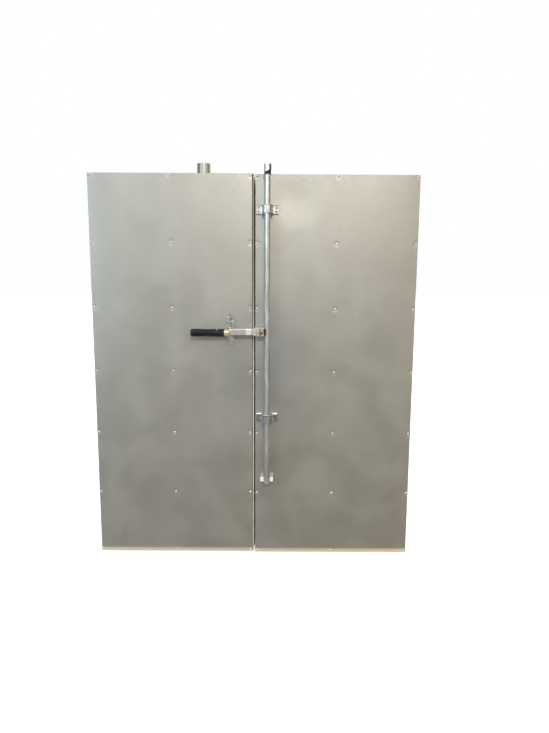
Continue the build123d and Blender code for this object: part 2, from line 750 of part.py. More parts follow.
body_panels()
outer_sheets()
inner_sheets()
front_frame()
door_seal()
door_leaves()
meeting_strip()
hinges()
bearings()
rod_foot()
lock_rod()
rod_cam()
handle_hub()
hub_bolt()
handle()
handle_catch()
catch_latch()
keeper()
exhaust()
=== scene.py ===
import math
import random

import bmesh
import bpy
from mathutils import Matrix, Vector


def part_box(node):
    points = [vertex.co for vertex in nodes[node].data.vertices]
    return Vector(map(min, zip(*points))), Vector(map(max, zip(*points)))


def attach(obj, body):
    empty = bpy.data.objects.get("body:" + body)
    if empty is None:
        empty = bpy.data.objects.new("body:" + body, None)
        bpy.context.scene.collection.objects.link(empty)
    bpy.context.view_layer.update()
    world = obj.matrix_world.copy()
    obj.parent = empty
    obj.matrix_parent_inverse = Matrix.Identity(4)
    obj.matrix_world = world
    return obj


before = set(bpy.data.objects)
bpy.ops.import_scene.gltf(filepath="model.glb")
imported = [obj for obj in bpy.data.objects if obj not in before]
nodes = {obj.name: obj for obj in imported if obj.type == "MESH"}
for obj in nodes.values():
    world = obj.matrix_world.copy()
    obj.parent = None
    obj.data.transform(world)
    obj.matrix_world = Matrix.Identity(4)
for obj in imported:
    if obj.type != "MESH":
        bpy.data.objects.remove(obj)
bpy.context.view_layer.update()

# Places read from the frame, in metres
left_low, left_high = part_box("left_door_skin")
right_low, right_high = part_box("right_door_skin")
face_y = left_low.y
door_back_y = left_high.y
strip_low, strip_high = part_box("meeting_strip")
strip_x = (strip_low.x + strip_high.x) / 2
pipe_low, pipe_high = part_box("lock_rod")
pipe_x = (pipe_low.x + pipe_high.x) / 2
pipe_y = (pipe_low.y + pipe_high.y) / 2
pipe_radius = (pipe_high.x - pipe_low.x) / 2
cam_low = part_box("cam_collar")[0]
hub_low, hub_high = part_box("handle_hub")
hub_z = (hub_low.z + hub_high.z) / 2
bolt_low, bolt_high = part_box("hub_bolt")
bolt_x = (bolt_low.x + bolt_high.x) / 2
grip_low, grip_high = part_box("grip")
handle_z = (grip_low.z + grip_high.z) / 2
catch_low, catch_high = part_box("handle_catch")
catch_x = (catch_low.x + catch_high.x) / 2
keeper_low, keeper_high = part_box("keeper")
side_low, side_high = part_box("right_sheet")
roof_low, roof_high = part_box("roof_sheet")
rear_low, rear_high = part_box("rear_sheet")
flange_low, flange_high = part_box("exhaust_flange")
stub_low, stub_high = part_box("exhaust_stub")
stub_x = (stub_low.x + stub_high.x) / 2

# Screw heads, in metres
panel_screw_radius = 0.0058
panel_screw_height = 0.0030
wafer_screw_height = 0.0013
bearing_screw_radius = 0.0048
bearing_screw_height = 0.0032
hinge_screw_radius = 0.0042
hinge_screw_height = 0.0014

# Rows of sheet screws: how many, and how far in from the edges
screw_rows = 7
face_columns = 3
face_inset = 0.009
liner_columns = 4
liner_inset = 0.022
side_columns = 4
rear_columns = 5
shell_inset = 0.012
rear_inset = 0.05
roof_gaps = 5
flange_screws = 6
flange_first_angle = 15
flange_ring_share = 0.84

# Plates that carry screws or welds, as in the part
flange_plate = 0.003
bearing_plate = 0.010
bearing_screw_reach = 0.0415
bearing_screw_drops = (0.0130, 0.0305)
bearing_ear_start = 0.030
# Height of the painted shade along a bearing plate's top edge
bearing_brow_shade = 0.007
hinge_length = 0.110
hinge_plate = 0.005
hinge_screw_insets = (0.014, 0.042)
hinge_screw_rise = 0.038
catch_plate = 0.006
catch_front = 0.010
shelf_drop = 0.023
shelf_thickness = 0.004
hub_ear_x = (0.0215, 0.0415)
# Across the hub's slot, where painted shade lies
hub_slot_shade_x = (0.0255, 0.0375)
# Across the handle bar, where a painted reflection of a window lies
bar_painted_reflection_x = (-0.0354, -0.0125)
flange_collar = 0.034

# Weld beads: half their width
hub_seam_bead = 0.0024
hub_end_bead = 0.0022
cam_bead = 0.0020
shelf_bead = 0.0016
stub_bead = 0.0011
keeper_bead = 0.0022

# Bends and dents of the door sheets. The starts are shares of a leaf's half width
edge_curl = 0.0035
curl_start = 0.55
lip_curl = 0.0014
lip_start = 0.80
hem_height = 0.024
left_hem_drop = 0.0040
right_hem_drop = 0.0060
dimple_radius = 0.020
dimple_floor = 0.003
dimple_depth = 0.0009

forwards = Vector((0, -1, 0))
backwards = Vector((0, 1, 0))
upwards = Vector((0, 0, 1))


# Camera of the photo
def set_camera():
    focal_pixels = 575.0
    photo_long_side = 733.0
    sensor = 36.0
    eye = Vector((0.092, face_y - 2.723, 1.369))
    pitch = math.radians(8.53)
    yaw = math.radians(0.15)
    roll = math.radians(0.32)
    level_share = math.cos(pitch)
    ahead = Vector((math.sin(yaw) * level_share, math.cos(yaw) * level_share, -math.sin(pitch)))
    level = Vector((math.cos(yaw), -math.sin(yaw), 0.0))
    above = level.cross(ahead)
    right = math.cos(roll) * level + math.sin(roll) * above
    top = math.cos(roll) * above - math.sin(roll) * level
    data = bpy.data.cameras.new("photo_camera")
    data.sensor_width = sensor
    data.lens = focal_pixels / photo_long_side * sensor
    data.clip_start = 0.05
    data.clip_end = 200.0
    camera = bpy.data.objects.new("photo_camera", data)
    turn = Matrix((right, top, -ahead)).transposed().to_4x4()
    camera.matrix_world = Matrix.Translation(eye) @ turn
    bpy.context.scene.collection.objects.link(camera)
    bpy.context.scene.camera = camera


# Node helpers for the finishes
def link(tree, source, target):
    tree.links.new(source, target)


def spot(tree):
    """The point on the surface, in metres, which turns and slides with the piece."""
    return tree.nodes.new("ShaderNodeTexCoord").outputs["Object"]


def along(tree):
    """The same point as three numbers, X, Y and Z."""
    split = tree.nodes.new("ShaderNodeSeparateXYZ")
    link(tree, spot(tree), split.inputs["Vector"])
    return split.outputs


def clouds(tree, scale, detail=3.0, stretch=(1.0, 1.0, 1.0), warp=0.0):
    """Soft noise, about 0.5 on average. scale is how many cells there are to a metre."""
    mapping = tree.nodes.new("ShaderNodeMapping")
    mapping.inputs["Scale"].default_value = stretch
    link(tree, spot(tree), mapping.inputs["Vector"])
    noise = tree.nodes.new("ShaderNodeTexNoise")
    noise.inputs["Scale"].default_value = scale
    noise.inputs["Detail"].default_value = detail
    noise.inputs["Distortion"].default_value = warp
    link(tree, mapping.outputs["Vector"], noise.inputs["Vector"])
    return noise.outputs["Fac"]


def crystals(tree, scale):
    """A flat random value for each crystal of a zinc coat."""
    cells = tree.nodes.new("ShaderNodeTexVoronoi")
    cells.inputs["Scale"].default_value = scale
    link(tree, spot(tree), cells.inputs["Vector"])
    split = tree.nodes.new("ShaderNodeSeparateColor")
    link(tree, cells.outputs["Color"], split.inputs["Color"])
    return split.outputs["Red"]


def maths(tree, operation, *values):
    """The result of one Math node. Each value is a number or a socket."""
    node = tree.nodes.new("ShaderNodeMath")
    node.operation = operation
    for socket, value in zip(node.inputs, values):
        if isinstance(value, (int, float)):
            socket.default_value = value
        else:
            link(tree, value, socket)
    return node.outputs[0]


def plus(tree, first, second):
    return maths(tree, "ADD", first, second)


def minus(tree, first, second):
    return maths(tree, "SUBTRACT", first, second)


def times(tree, first, second):
    return maths(tree, "MULTIPLY", first, second)


def larger(tree, first, second):
    return maths(tree, "MAXIMUM", first, second)


def ranged(tree, value, low, high, to_low=0.0, to_high=1.0, smooth=True):
    """A value that runs from low to high, brought to run from to_low to to_high."""
    node = tree.nodes.new("ShaderNodeMapRange")
    node.interpolation_type = "SMOOTHSTEP" if smooth else "LINEAR"
    for name, number in (("From Min", low), ("From Max", high), ("To Min", to_low), ("To Max", to_high)):
        node.inputs[name].default_value = number
    link(tree, value, node.inputs["Value"])
    return node.outputs["Result"]


def mixed(tree, share, first, second):
    """A colour between two colours. Each is three numbers or a socket."""
    node = tree.nodes.new("ShaderNodeMix")
    node.data_type = "RGBA"
    link(tree, share, node.inputs["Factor"])
    for socket, value in ((node.inputs[6], first), (node.inputs[7], second)):
        if isinstance(value, tuple):
            socket.default_value = (*value, 1.0)
        else:
            link(tree, value, socket)
    return node.outputs[2]


def near(tree, centre, reach):
    """1 at a point, falling to 0 on an ellipsoid round it."""
    mapping = tree.nodes.new("ShaderNodeMapping")
    mapping.vector_type = "TEXTURE"
    mapping.inputs["Location"].default_value = centre
    mapping.inputs["Scale"].default_value = reach
    link(tree, spot(tree), mapping.inputs["Vector"])
    length = tree.nodes.new("ShaderNodeVectorMath")
    length.operation = "LENGTH"
    link(tree, mapping.outputs["Vector"], length.inputs[0])
    return ranged(tree, length.outputs["Value"], 0.0, 1.0, to_low=1.0, to_high=0.0)


def between(tree, axis, low, high, soft):
    """1 between two places on an axis, with soft ends."""
    place = along(tree)[axis]
    entered = ranged(tree, place, low - soft, low + soft)
    left = ranged(tree, place, high - soft, high + soft, to_low=1.0, to_high=0.0)
    return times(tree, entered, left)


def raised(tree, height, distance, under=None):
    """A bump whose height runs to distance metres, over an earlier bump."""
    node = tree.nodes.new("ShaderNodeBump")
    node.inputs["Strength"].default_value = 1.0
    node.inputs["Distance"].default_value = distance
    link(tree, height, node.inputs["Height"])
    if under is not None:
        link(tree, under, node.inputs["Normal"])
    return node.outputs["Normal"]


def worn_edges(tree, radius):
    """1 where an outside or inside edge is within the radius."""
    flat_limit = 0.96
    edge_limit = 0.70
    soft = tree.nodes.new("ShaderNodeBevel")
    soft.samples = 4
    soft.inputs["Radius"].default_value = radius
    plain = tree.nodes.new("ShaderNodeNewGeometry")
    dot = tree.nodes.new("ShaderNodeVectorMath")
    dot.operation = "DOT_PRODUCT"
    link(tree, soft.outputs["Normal"], dot.inputs[0])
    link(tree, plain.outputs["Normal"], dot.inputs[1])
    return ranged(tree, dot.outputs["Value"], flat_limit, edge_limit)


def new_finish(name, metallic, roughness=0.4):
    finish = bpy.data.materials.new(name)
    finish.use_nodes = True
    tree = finish.node_tree
    shader = tree.nodes["Principled BSDF"]
    shader.inputs["Metallic"].default_value = metallic
    shader.inputs["Roughness"].default_value = roughness
    return finish, tree, shader


# Finishes
def curled(tree, across, start, drop):
    """The height of a door's face that curls back by drop from a share of its half width on."""
    beyond = larger(tree, minus(tree, maths(tree, "ABSOLUTE", across), start), 0.0)
    return times(tree, times(tree, beyond, beyond), -drop / (1.0 - start) ** 2)


def screw_distance(tree, low, high):
    """How far a point of a door's face is from the nearest of its screws."""
    pitch_x = (high.x - low.x - 2 * face_inset) / (face_columns - 1)
    pitch_z = (high.z - low.z - 2 * face_inset) / (screw_rows - 1)
    place = along(tree)
    across = minus(tree, place["X"], low.x + face_inset)
    across = maths(tree, "WRAP", across, pitch_x / 2, -pitch_x / 2)
    upward = minus(tree, place["Z"], low.z + face_inset)
    upward = maths(tree, "WRAP", upward, pitch_z / 2, -pitch_z / 2)
    squares = plus(tree, times(tree, across, across), times(tree, upward, upward))
    return maths(tree, "SQRT", squares)


def door_sheet(name, low, high, hem_drop, marks, shades, hollows=()):
    """Satin zinc-coated sheet, curled back at its upright edges, folded below, pulled in at its screws, with
    given areas of painted shade and a painted floor reflection along its folded lower edge.
    """
    pale = (0.547, 0.539, 0.496)
    dull = (0.502, 0.494, 0.452)
    crystal = (0.41, 0.40, 0.37)
    speck = (0.43, 0.425, 0.39)
    painted_shade = (0.42, 0.44, 0.45)
    rubbed = (0.80, 0.79, 0.74)
    painted_floor_reflection = (1.0, 0.99, 0.86)
    finish, tree, shader = new_finish(name, 0.80)

    place = along(tree)
    across = maths(tree, "DIVIDE", minus(tree, place["X"], (low.x + high.x) / 2), (high.x - low.x) / 2)
    above_hem = maths(tree, "DIVIDE", minus(tree, place["Z"], low.z), hem_height)
    hem = larger(tree, minus(tree, 1.0, above_hem), 0.0)
    bends = plus(tree, curled(tree, across, curl_start, edge_curl), curled(tree, across, lip_start, lip_curl))
    bends = plus(tree, bends, times(tree, hem, -hem_drop))
    normal = raised(tree, bends, 1.0)
    normal = raised(tree, clouds(tree, 1.7, 1.0, warp=0.4), 0.0035, under=normal)
    for centre, reach, depth in hollows:
        normal = raised(tree, near(tree, centre, reach), -depth, under=normal)
    dimples = ranged(tree, screw_distance(tree, low, high), dimple_floor, dimple_radius)
    normal = raised(tree, dimples, dimple_depth, under=normal)
    normal = raised(tree, clouds(tree, 900.0, 2.0), 0.00002, under=normal)
    link(tree, normal, shader.inputs["Normal"])

    flecks = crystals(tree, 95.0)
    haze = clouds(tree, 5.0, 4.0, warp=0.6)
    base = mixed(tree, ranged(tree, haze, 0.3, 0.7), dull, pale)
    base = mixed(tree, ranged(tree, flecks, 0.0, 1.0, to_high=0.16, smooth=False), base, crystal)
    base = mixed(tree, ranged(tree, clouds(tree, 260.0, 2.0), 0.35, 0.65, to_high=0.22), base, speck)
    # Painted shade: darker, bluer areas beside the pipe on the right leaf and by the meeting edge on the left
    for centre, reach, share in shades:
        base = mixed(tree, times(tree, near(tree, centre, reach), share), base, painted_shade)
    scratches = ranged(tree, clouds(tree, 6.0, 2.0, (1.0, 1.0, 0.2)), 0.45, 0.8, to_high=0.12)
    for centre, reach, share in marks:
        scratches = larger(tree, scratches, times(tree, near(tree, centre, reach), share))
    base = mixed(tree, scratches, base, rubbed)
    # Painted reflection: a pale cream band, the floor's reflection, along the folded lower edge
    base = mixed(tree, ranged(tree, hem, 0.0, 0.60), base, painted_floor_reflection)
    link(tree, base, shader.inputs["Base Color"])

    rough = ranged(tree, haze, 0.25, 0.75, to_low=0.45, to_high=0.53)
    rough = plus(tree, rough, times(tree, flecks, 0.03))
    rough = plus(tree, rough, times(tree, scratches, 0.10))
    link(tree, rough, shader.inputs["Roughness"])
    return finish


def zinc_sheet(name, light, dark, rough_low, rough_high, heat=0.0):
    """Zinc-coated or aluminised sheet with crystals, faint rolling lines, slow waves and heat stains."""
    crystal = tuple(0.82 * part for part in dark)
    stain = (0.42, 0.34, 0.22)
    finish, tree, shader = new_finish(name, 0.88)
    normal = raised(tree, clouds(tree, 1.5, 1.0, warp=0.3), 0.0022)
    normal = raised(tree, clouds(tree, 30.0, 2.0, (1.0, 1.0, 0.04)), 0.00006, under=normal)
    normal = raised(tree, clouds(tree, 700.0, 2.0), 0.00002, under=normal)
    link(tree, normal, shader.inputs["Normal"])
    haze = clouds(tree, 4.0, 2.0, warp=0.3)
    flecks = crystals(tree, 80.0)
    base = mixed(tree, ranged(tree, haze, 0.3, 0.7), dark, light)
    base = mixed(tree, ranged(tree, flecks, 0.0, 1.0, to_high=0.25, smooth=False), base, crystal)
    if heat:
        tint = ranged(tree, clouds(tree, 2.0, 3.0, warp=1.0), 0.45, 0.75, to_high=heat)
        base = mixed(tree, tint, base, stain)
    link(tree, base, shader.inputs["Base Color"])
    rough = ranged(tree, haze, 0.25, 0.75, to_low=rough_low, to_high=rough_high)
    link(tree, plus(tree, rough, times(tree, flecks, 0.06)), shader.inputs["Roughness"])
    return finish


def plated_steel(name, light, dark, rough, edge, edge_tone, metallic=0.9, stretch=(1.0, 1.0, 1.0), tints_and_painted_light=(),
                 patches_and_painted_light=(), dull_below=None):
    """Plated steel, cloudy, bare at its edges, with given spots and bands of weld burn, tint, painted shade
    and painted highlight, and duller below a height if given.
    """
    patch_blur = 0.0008
    dull_blur = 0.1
    finish, tree, shader = new_finish(name, metallic)
    haze = clouds(tree, 40.0, 5.0, stretch, 0.5)
    fine = clouds(tree, 600.0, 3.0, stretch)
    base = mixed(tree, ranged(tree, haze, 0.3, 0.7), dark, light)
    wear = times(tree, worn_edges(tree, edge), ranged(tree, clouds(tree, 180.0, 3.0), 0.35, 0.6))
    base = mixed(tree, wear, base, edge_tone)
    roughness = ranged(tree, haze, 0.25, 0.75, to_low=rough[0], to_high=rough[1])
    roughness = plus(tree, roughness, times(tree, fine, 0.08))
    for centre, reach, tone in tints_and_painted_light:
        torn = ranged(tree, clouds(tree, 160.0, 3.0), 0.2, 0.8, to_low=-0.3, to_high=0.3)
        marked = ranged(tree, plus(tree, near(tree, centre, reach), torn), 0.3, 0.55)
        base = mixed(tree, marked, base, tone)
        roughness = plus(tree, roughness, times(tree, marked, 0.25))
    for (low_x, high_x), (low_z, high_z), tone in patches_and_painted_light:
        in_x = between(tree, "X", low_x, high_x, patch_blur)
        in_z = between(tree, "Z", low_z, high_z, patch_blur)
        base = mixed(tree, times(tree, in_x, in_z), base, tone)
    if dull_below:
        height = along(tree)["Z"]
        dull = ranged(tree, height, dull_below - dull_blur, dull_below + dull_blur, to_low=1.0, to_high=0.0)
        roughness = plus(tree, roughness, times(tree, dull, 0.13))
    link(tree, base, shader.inputs["Base Color"])
    link(tree, roughness, shader.inputs["Roughness"])
    normal = raised(tree, haze, 0.00015)
    link(tree, raised(tree, fine, 0.00003, under=normal), shader.inputs["Normal"])
    return finish


def weld_metal():
    """Sooty weld metal, bright in places."""
    soot = (0.05, 0.042, 0.036)
    bright = (0.24, 0.21, 0.18)
    finish, tree, shader = new_finish("weld_metal", 0.8)
    cloud = clouds(tree, 220.0, 4.0)
    link(tree, mixed(tree, ranged(tree, cloud, 0.35, 0.65), soot, bright), shader.inputs["Base Color"])
    link(tree, ranged(tree, cloud, 0.3, 0.7, to_low=0.38, to_high=0.62), shader.inputs["Roughness"])
    link(tree, raised(tree, clouds(tree, 900.0, 3.0), 0.0001), shader.inputs["Normal"])
    return finish


def grip_plastic():
    """Blue-black moulded plastic, dull where hands rub it, with one pale nick near its ring."""
    deep = (0.009, 0.010, 0.015)
    rubbed = (0.019, 0.021, 0.029)
    edge_tone = (0.07, 0.075, 0.09)
    nick_tone = (0.75, 0.77, 0.80)
    nick_centre = (grip_high.x - 0.0335, grip_low.y + 0.010, grip_high.z - 0.002)
    nick_reach = (0.0042, 0.013, 0.004)
    finish, tree, shader = new_finish("grip_plastic", 0.0)
    shader.inputs["Specular IOR Level"].default_value = 0.25
    worn = clouds(tree, 45.0, 4.0, (0.35, 1.0, 1.0), 0.4)
    base = mixed(tree, ranged(tree, worn, 0.35, 0.7), deep, rubbed)
    base = mixed(tree, times(tree, worn_edges(tree, 0.001), 0.5), base, edge_tone)
    nick = ranged(tree, near(tree, nick_centre, nick_reach), 0.25, 0.5)
    link(tree, mixed(tree, nick, base, nick_tone), shader.inputs["Base Color"])
    link(tree, ranged(tree, worn, 0.3, 0.7, to_low=0.36, to_high=0.52), shader.inputs["Roughness"])
    normal = raised(tree, clouds(tree, 1100.0, 2.0), 0.00005)
    link(tree, raised(tree, worn, 0.0003, under=normal), shader.inputs["Normal"])
    return finish


def mineral_wool():
    """Layered mineral wool, seen only at its cut edges."""
    deep = (0.30, 0.25, 0.13)
    pale = (0.55, 0.49, 0.30)
    layer_tone = (0.22, 0.18, 0.10)
    finish, tree, shader = new_finish("mineral_wool", 0.0, 0.95)
    fibres = clouds(tree, 260.0, 5.0, (1.0, 0.12, 1.0), 1.2)
    layers = clouds(tree, 60.0, 3.0, (0.15, 1.0, 0.15))
    base = mixed(tree, ranged(tree, fibres, 0.3, 0.7), deep, pale)
    base = mixed(tree, ranged(tree, layers, 0.5, 0.7, to_high=0.35), base, layer_tone)
    link(tree, base, shader.inputs["Base Color"])
    normal = raised(tree, fibres, 0.0015)
    link(tree, raised(tree, layers, 0.002, under=normal), shader.inputs["Normal"])
    link(tree, ranged(tree, fibres, 0.3, 0.7, to_low=0.85, to_high=1.0), shader.inputs["Roughness"])
    return finish


def seal_braid():
    """Braided glass-fibre sleeve of the door seal, pale with brown marks where it is hot."""
    hollow = (0.33, 0.31, 0.27)
    strand_tone = (0.66, 0.64, 0.58)
    stain = (0.30, 0.21, 0.12)
    finish, tree, shader = new_finish("seal_braid", 0.0, 0.8)
    strands = []
    for tilt in (0.9, -0.9):
        mapping = tree.nodes.new("ShaderNodeMapping")
        mapping.inputs["Rotation"].default_value = (0.0, tilt, 0.0)
        link(tree, spot(tree), mapping.inputs["Vector"])
        wave = tree.nodes.new("ShaderNodeTexWave")
        wave.inputs["Scale"].default_value = 140.0
        link(tree, mapping.outputs["Vector"], wave.inputs["Vector"])
        strands.append(wave.outputs["Fac"])
    braid = larger(tree, *strands)
    stains = clouds(tree, 9.0, 4.0, warp=0.5)
    base = mixed(tree, braid, hollow, strand_tone)
    base = mixed(tree, ranged(tree, stains, 0.55, 0.75, to_high=0.5), base, stain)
    link(tree, base, shader.inputs["Base Color"])
    link(tree, raised(tree, braid, 0.0006), shader.inputs["Normal"])
    link(tree, ranged(tree, stains, 0.3, 0.7, to_low=0.7, to_high=0.9), shader.inputs["Roughness"])
    return finish


def bush_plastic():
    """Pale blue-grey plastic of the bearing bushes."""
    deep = (0.40, 0.46, 0.52)
    pale = (0.62, 0.68, 0.73)
    finish, tree, shader = new_finish("bush_plastic", 0.0)
    cloud = clouds(tree, 70.0, 4.0)
    link(tree, mixed(tree, ranged(tree, cloud, 0.3, 0.7), deep, pale), shader.inputs["Base Color"])
    link(tree, ranged(tree, cloud, 0.3, 0.7, to_low=0.35, to_high=0.5), shader.inputs["Roughness"])
    link(tree, raised(tree, clouds(tree, 700.0, 2.0), 0.00004), shader.inputs["Normal"])
    return finish


def strip_foil():
    """Meeting strip, crumpled along its length, with painted shade that darkens it higher up and deep between
    the leaves, and areas of dark grime.
    """
    cream = (0.93, 0.93, 0.80)
    bright = (0.98, 0.98, 0.86)
    upper_painted_shade = (0.42, 0.40, 0.31)
    left_groove_shade = (0.06, 0.055, 0.045)
    right_groove_shade = (0.42, 0.39, 0.30)
    finish, tree, shader = new_finish("strip_foil", 0.2)
    crumple = clouds(tree, 11.0, 3.0, (4.0, 1.0, 1.0), 1.2)
    place = along(tree)
    base = mixed(tree, ranged(tree, crumple, 0.3, 0.7), cream, bright)
    # Painted shade: the strip darkens from 0.9 m up to 1.5 m high
    base = mixed(tree, ranged(tree, place["Z"], 0.9, 1.5), base, upper_painted_shade)
    grime = ranged(tree, clouds(tree, 60.0, 4.0), 0.55, 0.8, to_high=0.25)
    # Painted shade: the deeper the strip lies behind the leaves' face, the darker it gets, near-black on its
    # left flank and brown-grey on its right; the grime patches take the same colour
    groove_painted_shade = ranged(tree, place["Y"], face_y + 0.0022, face_y + 0.0040)
    open_side = ranged(tree, place["X"], strip_x - 0.0005, strip_x + 0.0005)
    base = mixed(tree, larger(tree, grime, groove_painted_shade), base, mixed(tree, open_side, left_groove_shade, right_groove_shade))
    link(tree, base, shader.inputs["Base Color"])
    link(tree, ranged(tree, crumple, 0.3, 0.7, to_low=0.32, to_high=0.5), shader.inputs["Roughness"])
    normal = raised(tree, crumple, 0.004)
    link(tree, raised(tree, clouds(tree, 300.0, 3.0), 0.0001, under=normal), shader.inputs["Normal"])
    return finish


# Meshes
def piece(name, shape, finish, body, crease):
    """Makes a shape one piece that rides on a body. Edges sharper than crease degrees stay sharp."""
    mesh = bpy.data.meshes.new(name)
    shape.to_mesh(mesh)
    shape.free()
    mesh.materials.append(finish)
    made = bpy.data.objects.new(name, mesh)
    bpy.context.scene.collection.objects.link(made)
    mesh.polygons.foreach_set("use_smooth", [True] * len(mesh.polygons))
    mesh.set_sharp_from_angle(angle=math.radians(crease))
    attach(made, body)


def new_verts(grown):
    return [item for item in grown["geom"] if isinstance(item, bmesh.types.BMVert)]


def new_rim(grown):
    return [item for item in grown["geom"] if isinstance(item, bmesh.types.BMEdge) and item.is_boundary]


def outward(vert):
    """The level direction from a head's axis to a point of it."""
    return Vector((vert.co.x, vert.co.y, 0)).normalized()


def screw_head(radius, height):
    """A low domed head with a cross recess, standing on z = 0."""
    cells = 7
    crown = 0.46 * radius
    cross_reach = 0.36 * radius
    crown_ring = 0.5
    rings = (0.62, 0.75, 0.87, 0.96, 1.0)
    recess_depth = 0.55 * height
    recess_taper = 0.75
    dome = 0.92
    shape = bmesh.new()
    bmesh.ops.create_grid(shape, x_segments=cells, y_segments=cells, size=crown,
                          matrix=Matrix.Translation((0, 0, height)))
    half_cell = crown / cells
    cross = []
    for face in shape.faces:
        centre = face.calc_center_median()
        on_x = abs(centre.y) < half_cell and abs(centre.x) < cross_reach
        on_y = abs(centre.x) < half_cell and abs(centre.y) < cross_reach
        if on_x or on_y:
            cross.append(face)
    rim = [edge for edge in shape.edges if edge.is_boundary]
    for vert in {v for edge in rim for v in edge.verts}:
        flat = outward(vert) * crown_ring * radius
        vert.co.x, vert.co.y = flat.x, flat.y
    sunk = bmesh.ops.extrude_face_region(shape, geom=cross)
    bmesh.ops.delete(shape, geom=cross, context="FACES_ONLY")
    low = new_verts(sunk)
    bmesh.ops.translate(shape, verts=low, vec=(0, 0, -recess_depth))
    bmesh.ops.scale(shape, verts=low, vec=(recess_taper, recess_taper, 1.0))
    for share in rings:
        grown = bmesh.ops.extrude_edge_only(shape, edges=rim)
        rim = new_rim(grown)
        for vert in new_verts(grown):
            flat = outward(vert) * share * radius
            vert.co = Vector((flat.x, flat.y, height))
    for vert in shape.verts:
        vert.co.z -= dome * height * (vert.co.x ** 2 + vert.co.y ** 2) / radius ** 2
    grown = bmesh.ops.extrude_edge_only(shape, edges=rim)
    for vert in new_verts(grown):
        vert.co.z = 0.0
    bmesh.ops.contextual_create(shape, geom=new_rim(grown))
    bmesh.ops.recalc_face_normals(shape, faces=shape.faces)
    mesh = bpy.data.meshes.new("screw_head_pattern")
    shape.to_mesh(mesh)
    shape.free()
    return mesh


def screws(name, pattern, places, facing, finish, body, seed):
    """Many heads in one mesh, each turned at random about its own axis."""
    turns = random.Random(seed)
    shape = bmesh.new()
    stand = upwards.rotation_difference(facing).to_matrix().to_4x4()
    for place in places:
        first = len(shape.verts)
        shape.from_mesh(pattern)
        shape.verts.ensure_lookup_table()
        spin = Matrix.Rotation(turns.uniform(0, math.pi), 4, "Z")
        move = Matrix.Translation(place) @ stand @ spin
        bmesh.ops.transform(shape, matrix=move, verts=shape.verts[first:])
    piece(name, shape, finish, body, 40.0)


def weld_bead(shape, points, radius, seed):
    """A rippled bead: a ring extruded from point to point, thicker and thinner in turn."""
    tip = 0.4 * radius
    thin = 0.8
    ripple = random.Random(seed)
    start = points[0]
    heading = (points[1] - start).normalized()
    turn = upwards.rotation_difference(heading).to_matrix().to_4x4()
    ring = bmesh.ops.create_circle(shape, cap_ends=True, segments=8, radius=tip,
                                   matrix=Matrix.Translation(start) @ turn)
    edges = list({edge for vert in ring["verts"] for edge in vert.link_edges})
    size = tip
    last = len(points) - 1
    for i in range(1, len(points)):
        end = points[i]
        new_heading = (end - start).normalized()
        grown = bmesh.ops.extrude_edge_only(shape, edges=edges)
        verts = new_verts(grown)
        edges = [item for item in grown["geom"]
                 if isinstance(item, bmesh.types.BMEdge) and all(v in verts for v in item.verts)]
        wanted = tip if i == last else radius * (1.0 if i % 2 else thin) * ripple.uniform(0.92, 1.05)
        bend = heading.rotation_difference(new_heading).to_matrix().to_4x4()
        move = Matrix.Translation(end) @ bend @ Matrix.Scale(wanted / size, 4) @ Matrix.Translation(-start)
        bmesh.ops.transform(shape, matrix=move, verts=verts)
        size = wanted
        heading = new_heading
        start = end
    bmesh.ops.contextual_create(shape, geom=edges)


def straight_weld(shape, start, end, radius, seed):
    start, end = Vector(start), Vector(end)
    steps = max(3, round((end - start).length / (0.9 * radius)))
    weld_bead(shape, [start.lerp(end, i / steps) for i in range(steps + 1)], radius, seed)


def ring_weld(shape, centre, ring_radius, radius, seed):
    steps = round(2 * math.pi * ring_radius / (1.1 * radius))
    points = []
    for i in range(steps + 1):
        angle = 2 * math.pi * i / steps
        points.append(centre + ring_radius * Vector((math.cos(angle), math.sin(angle), 0)))
    weld_bead(shape, points, radius, seed)


def grid_places(low, high, columns, rows):
    """Points spread evenly over an upright rectangle, given by two opposite corners."""
    places = []
    for column in range(columns):
        u = column / (columns - 1)
        for row in range(rows):
            v = row / (rows - 1)
            places.append(Vector((low.x + (high.x - low.x) * u, low.y + (high.y - low.y) * u,
                                  low.z + (high.z - low.z) * v)))
    return places


def add_door_screws(panel_screw, wafer_screw, finish):
    for side, low, high, seed in (("left", left_low, left_high, 3), ("right", right_low, right_high, 5)):
        corner_low = Vector((low.x + face_inset, face_y, low.z + face_inset))
        corner_high = Vector((high.x - face_inset, face_y, high.z - face_inset))
        places = grid_places(corner_low, corner_high, face_columns, screw_rows)
        screws(f"{side}_door_screws", panel_screw, places, forwards, finish, f"{side}_door", seed)
        corner_low = Vector((low.x + liner_inset, door_back_y, low.z + liner_inset))
        corner_high = Vector((high.x - liner_inset, door_back_y, high.z - liner_inset))
        places = [place for place in grid_places(corner_low, corner_high, liner_columns, screw_rows)
                  if place.x in (corner_low.x, corner_high.x) or place.z in (corner_low.z, corner_high.z)]
        screws(f"{side}_liner_screws", wafer_screw, places, backwards, finish, f"{side}_door", 7)


